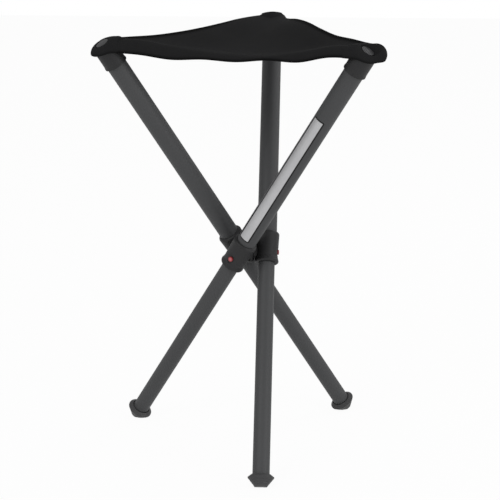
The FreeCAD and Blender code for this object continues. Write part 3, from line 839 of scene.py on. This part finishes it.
# Corner 3's radius, top, round and endTop are the best of 24 sets that were tried against
# the outline in the photo
pocketValues = {
    "cell": 0.8,           # of the grid that its mesh is drawn on, and the room that the grid takes
    "roomBelow": (46, 46, 26),
    "roomAbove": (46, 46, 16),
    "radius": {1: 17.6, 2: 16.0, 3: 19.9},      # of the cup about the leg
    "top": {1: 332.4, 2: 331.2, 3: 332.0},      # of the cup, along the leg from its pin
    "round": {1: 8.5, 2: 4.5, 3: 9.0},          # of the cup's upper edge
    "blend": {1: 5.0, 2: 6.0, 3: 5.0},          # of the cup and the seat's own form
    "hemInner": {1: -7.8, 2: -8.0, 3: -9.2},    # levels of the hem, inwards and outwards of the leg
    "hemOuter": {1: -13.5, 2: -12.0, 3: -14.8},
    "hemStart": -6.0,      # where the hem starts to fall, and over what length
    "hemSpan": 20.0,
    "end": -4.0,           # how far out the seat's own form runs
    "endTop": {1: 8.0, 2: 3.5, 3: 5.5},         # level that its top rises to at the corner
    "riseStart": -16.0,    # where that rise starts, and over what length
    "riseSpan": 24.0,
    "hump": {1: 0.0, 2: 0.0, 3: 3.0},           # of the cloth where it leaves the leg
    "humpPlace": -17.0,
    "humpWidth": 8.0,
    "slant": 0.9,          # share of a height that is the distance to the sloping top
    "skin": 0.35,          # that the pocket lies over the panel's own surface
    "fade": -18.0,         # inwards of here the pocket sinks into the panel
    "span": 26.0,          # and beyond this distance from the leg's axis
    "sink": 0.9,           # how much it sinks in each step beyond, for so many steps
    "sinkStep": 4,
    "sinkSteps": 3,
    "sinkEnd": 7,          # how far beyond it ends
    "clear": {1: 21.5, 2: 25.4, 3: 19.5},       # room about the axes of the legs beside it when closed
    "clearOther": 16.6,
    "dish": 9.4,           # radius round the screw's head, how it widens and its depth
    "dishWidens": 0.45,
    "dishDepth": 0.15,
    "bore": 2.9,
    "capGap": 0.3,         # between the cap's top and the cloth
    "mapRadius": 16,       # of the cloth's map round the leg
    "tapeShare": 0.6,      # share of the binding's tone, and its fading
    "tapeSoft": 0.6,
    "sharp": 50,           # degrees above which an edge stays sharp
}

# How softly each form of a pocket meets the others
blendValues = {"edge": 0.5, "end": 6.0, "inner": 3.0, "clear": 1.5, "dish": 1.0, "hem": 2.0, "hollow": 0.8}

# Corner 1 puffs out beside the leg: middle outwards, across and in level, and radius
puffValues = {"middle": (3.2, 12.2, -4.9), "radius": 13.1, "blend": 5.0}

# Corner 3 is drawn down by the pull of the cloth: level of that slope, its start and curve, and
# how it rises across
slopeValues = {"level": 6.2, "start": -19.0, "curve": 0.0117, "across": 0.2, "from": 15.0, "blend": 2.0}


def softMore(a, b, blend):
    # Larger of two distances, rounded where they meet
    share = np.clip(0.5 - 0.5 * (b - a) / blend, 0, 1)
    return b * (1 - share) + a * share + blend * share * (1 - share)


def softLess(a, b, blend):
    # Smaller of two distances, rounded in the same way
    return -softMore(-a, -b, blend)


def fromCorner(points, number):
    # Places from a corner, and how far they lie outwards and across in plan
    angle = math.radians(cornerBearing[number])
    outward = np.array((math.cos(angle), math.sin(angle), 0.0))
    q = points - cornerPoint[number]
    return q, q @ outward, q @ np.array((-outward[1], outward[0], 0.0))


def hemLevel(outwards, number):
    # The hem is level near the seat and falls outwards of the leg, along a smooth step
    v = pocketValues
    share = np.clip((outwards - v["hemStart"]) / v["hemSpan"], 0, 1)
    inner, outer = v["hemInner"][number], v["hemOuter"][number]
    return inner + (outer - inner) * share ** 2 * (3 - 2 * share)


def pocketDistance(points, number):
    # Distance to the pocket: a rounded cup about the leg joined to the end of the seat's own form,
    # which lies between its cloth level and its curling edges, less the room of the other legs, a
    # dish for the screw, all below the hem, the cap and the screw's bore
    v = pocketValues
    soft = blendValues
    out, along = legAxes(number)
    q, outwards, across = fromCorner(points, number)
    height = q @ along
    radial = np.linalg.norm(q - height[..., None] * along, axis=-1)
    level = q[..., 2]
    top, radius, edge = v["top"][number] - legValues["end"], v["radius"][number], v["round"][number]
    part = np.stack([radial - (radius - edge), height - (top - edge)], -1)
    cup = np.linalg.norm(np.maximum(part, 0), axis=-1) + np.minimum(part.max(-1), 0) - edge
    plan = points[..., :2]
    crest = clothLevel(plan) - tipLevel
    reach = np.clip((outwards - v["riseStart"]) / v["riseSpan"], 0, 1)
    crest = crest * (1 - reach) + v["endTop"][number] * reach
    crest = crest + v["hump"][number] * np.exp(-((outwards - v["humpPlace"]) / v["humpWidth"]) ** 2)
    arm = (level - crest) * v["slant"]
    for side in panelEdges(number):
        gap, share = edgeMeasure(side, plan)
        share = np.clip(share, -1, 1)
        drop = wholeDrop(alongEdge(share, side["hem"]))
        bulge = alongEdge(share, side["bulge"])
        turn = np.arccos(np.clip(1 - np.maximum(crest - level, 0) / drop, -1, 1))
        arm = softMore(arm, -gap - bulge * np.sin(turn), soft["edge"])
    arm = softMore(arm, outwards - v["end"], soft["end"])
    beyond = np.maximum(v["fade"] - outwards, radial - v["span"])
    arm = arm - v["skin"] + v["sink"] * np.clip(beyond / v["sinkStep"], 0, v["sinkSteps"])
    arm = softMore(arm, beyond - v["sinkEnd"], soft["inner"])
    body = softLess(cup, arm, v["blend"][number])
    if number == 1:
        puff = np.linalg.norm(np.stack([outwards, across, level], -1) - puffValues["middle"], axis=-1)
        body = softLess(body, puff - puffValues["radius"], puffValues["blend"])
    if number == 3:
        w = slopeValues
        slope = w["level"] - w["curve"] * np.maximum(outwards - w["start"], 0) ** 2
        body = softMore(body, level - slope - w["across"] * (across + w["from"]), w["blend"])
    # The legs stand side by side when closed, at the corners of an even triangle whose middle is one
    # offset away, and the room of the other two is cut away
    tilt = np.cross(along, out)
    for way, clear in ((1, v["clear"][number]), (-1, v["clearOther"])):
        gap = np.hypot(q @ out + 1.5 * legValues["offset"],
                       q @ tilt + way * math.sqrt(0.75) * legValues["offset"])
        body = softMore(body, clear - gap, soft["clear"])
    dish = np.minimum(v["dish"] + v["dishWidens"] * np.maximum(height, 0) - radial, height + v["dishDepth"])
    body = softMore(body, dish, soft["dish"])
    body = softMore(body, hemLevel(outwards, number) - level, soft["hem"])
    capTop = legValues["capTop"] + v["capGap"] - legValues["end"]
    hollow = np.minimum(legValues["capRadius"] - radial, capTop - height)
    body = softMore(body, hollow, soft["hollow"])
    return np.maximum(body, v["bore"] - radial)


def skinOf(distance, low, high, step):
    # Closed mesh of the points where the distance is nought: one vertex in each grid cell that the
    # surface crosses, one quad about each grid edge that it crosses, then moved onto the surface by
    # four steps of the distance over its slope
    probe, longest = 0.05, 0.3
    counts = np.ceil((high - low) / step).astype(int) + 1
    ticks = [low[i] + step * np.arange(counts[i]) for i in range(3)]
    grid = np.stack(np.meshgrid(*ticks, indexing="ij"), -1)
    value = distance(grid)
    cells = tuple(counts - 1)
    total, count, rings = np.zeros(cells + (3,)), np.zeros(cells), []
    for axis in range(3):
        a = np.take(value, np.arange(counts[axis] - 1), axis)
        b = np.take(value, np.arange(1, counts[axis]), axis)
        where = np.argwhere((a < 0) != (b < 0))
        a, b = a[tuple(where.T)], b[tuple(where.T)]
        place = grid[tuple(where.T)]
        place[:, axis] += step * a / (a - b)
        ring = []
        for shift in ((0, 0), (1, 0), (1, 1), (0, 1)):
            cell = where.copy()
            cell[:, (axis + 1) % 3] -= shift[0]
            cell[:, (axis + 2) % 3] -= shift[1]
            np.add.at(total, tuple(cell.T), place)
            np.add.at(count, tuple(cell.T), 1)
            ring.append(cell)
        rings.append(ring)
    used = count > 0
    index = np.full(cells, -1)
    index[used] = np.arange(used.sum())
    points = total[used] / count[used][:, None]
    faces = np.concatenate([np.stack([index[tuple(cell.T)] for cell in ring], 1) for ring in rings])
    for turn in range(4):
        sides = probe * np.eye(3)
        slope = np.stack([distance(points + side) - distance(points - side) for side in sides], -1)
        slope = slope / (2 * probe)
        move = -distance(points) / np.maximum((slope ** 2).sum(-1), 0.2)
        points = points + np.clip(move, -longest, longest)[:, None] * slope
    return points, faces


def seatPocket(number):
    v = pocketValues
    middle = cornerPoint[number]
    points, faces = skinOf(lambda p: pocketDistance(p, number),
                           middle - v["roomBelow"], middle + v["roomAbove"], v["cell"])
    q, outwards, across = fromCorner(points, number)
    # The cloth's map runs round the leg and down the side, with its seam on the inner side
    roundLeg = np.arctan2(across, outwards) * v["mapRadius"]
    laid = np.stack([roundLeg, np.hypot(across, outwards) - q[:, 2]], -1) / 1000
    above = q[:, 2] - hemLevel(outwards, number)
    darkBand = v["tapeShare"] / (1 + np.exp((above - seatValues["tape"]) / v["tapeSoft"]))
    piece = makePiece("seatPocket%d" % number, points, faces, laid, darkBand, finishes["seatCloth"])
    finishMesh(piece, v["sharp"])
    return piece


for number in (1, 2, 3):
    panel = seatPanel(number)
    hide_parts("seat_panel_%d" % number)
    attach(panel, "seat_%d" % number)
    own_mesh(panel)
    pocket = seatPocket(number)
    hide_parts("seat_pocket_%d" % number)
    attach(pocket, "leg_%d" % number)
print("seat made")


for number in (1, 2, 3):
    node = nodes["lock_clip_%d" % number]
    clip = bpy.data.objects.new("lockClip%d" % number, node.data.copy())
    clip.matrix_world = node.matrix_world.copy()
    bpy.context.scene.collection.objects.link(clip)
    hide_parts("lock_clip_%d" % number)
    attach(clip, "lower_leg_%d" % number)
    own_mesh(clip)
print("lock clips made")
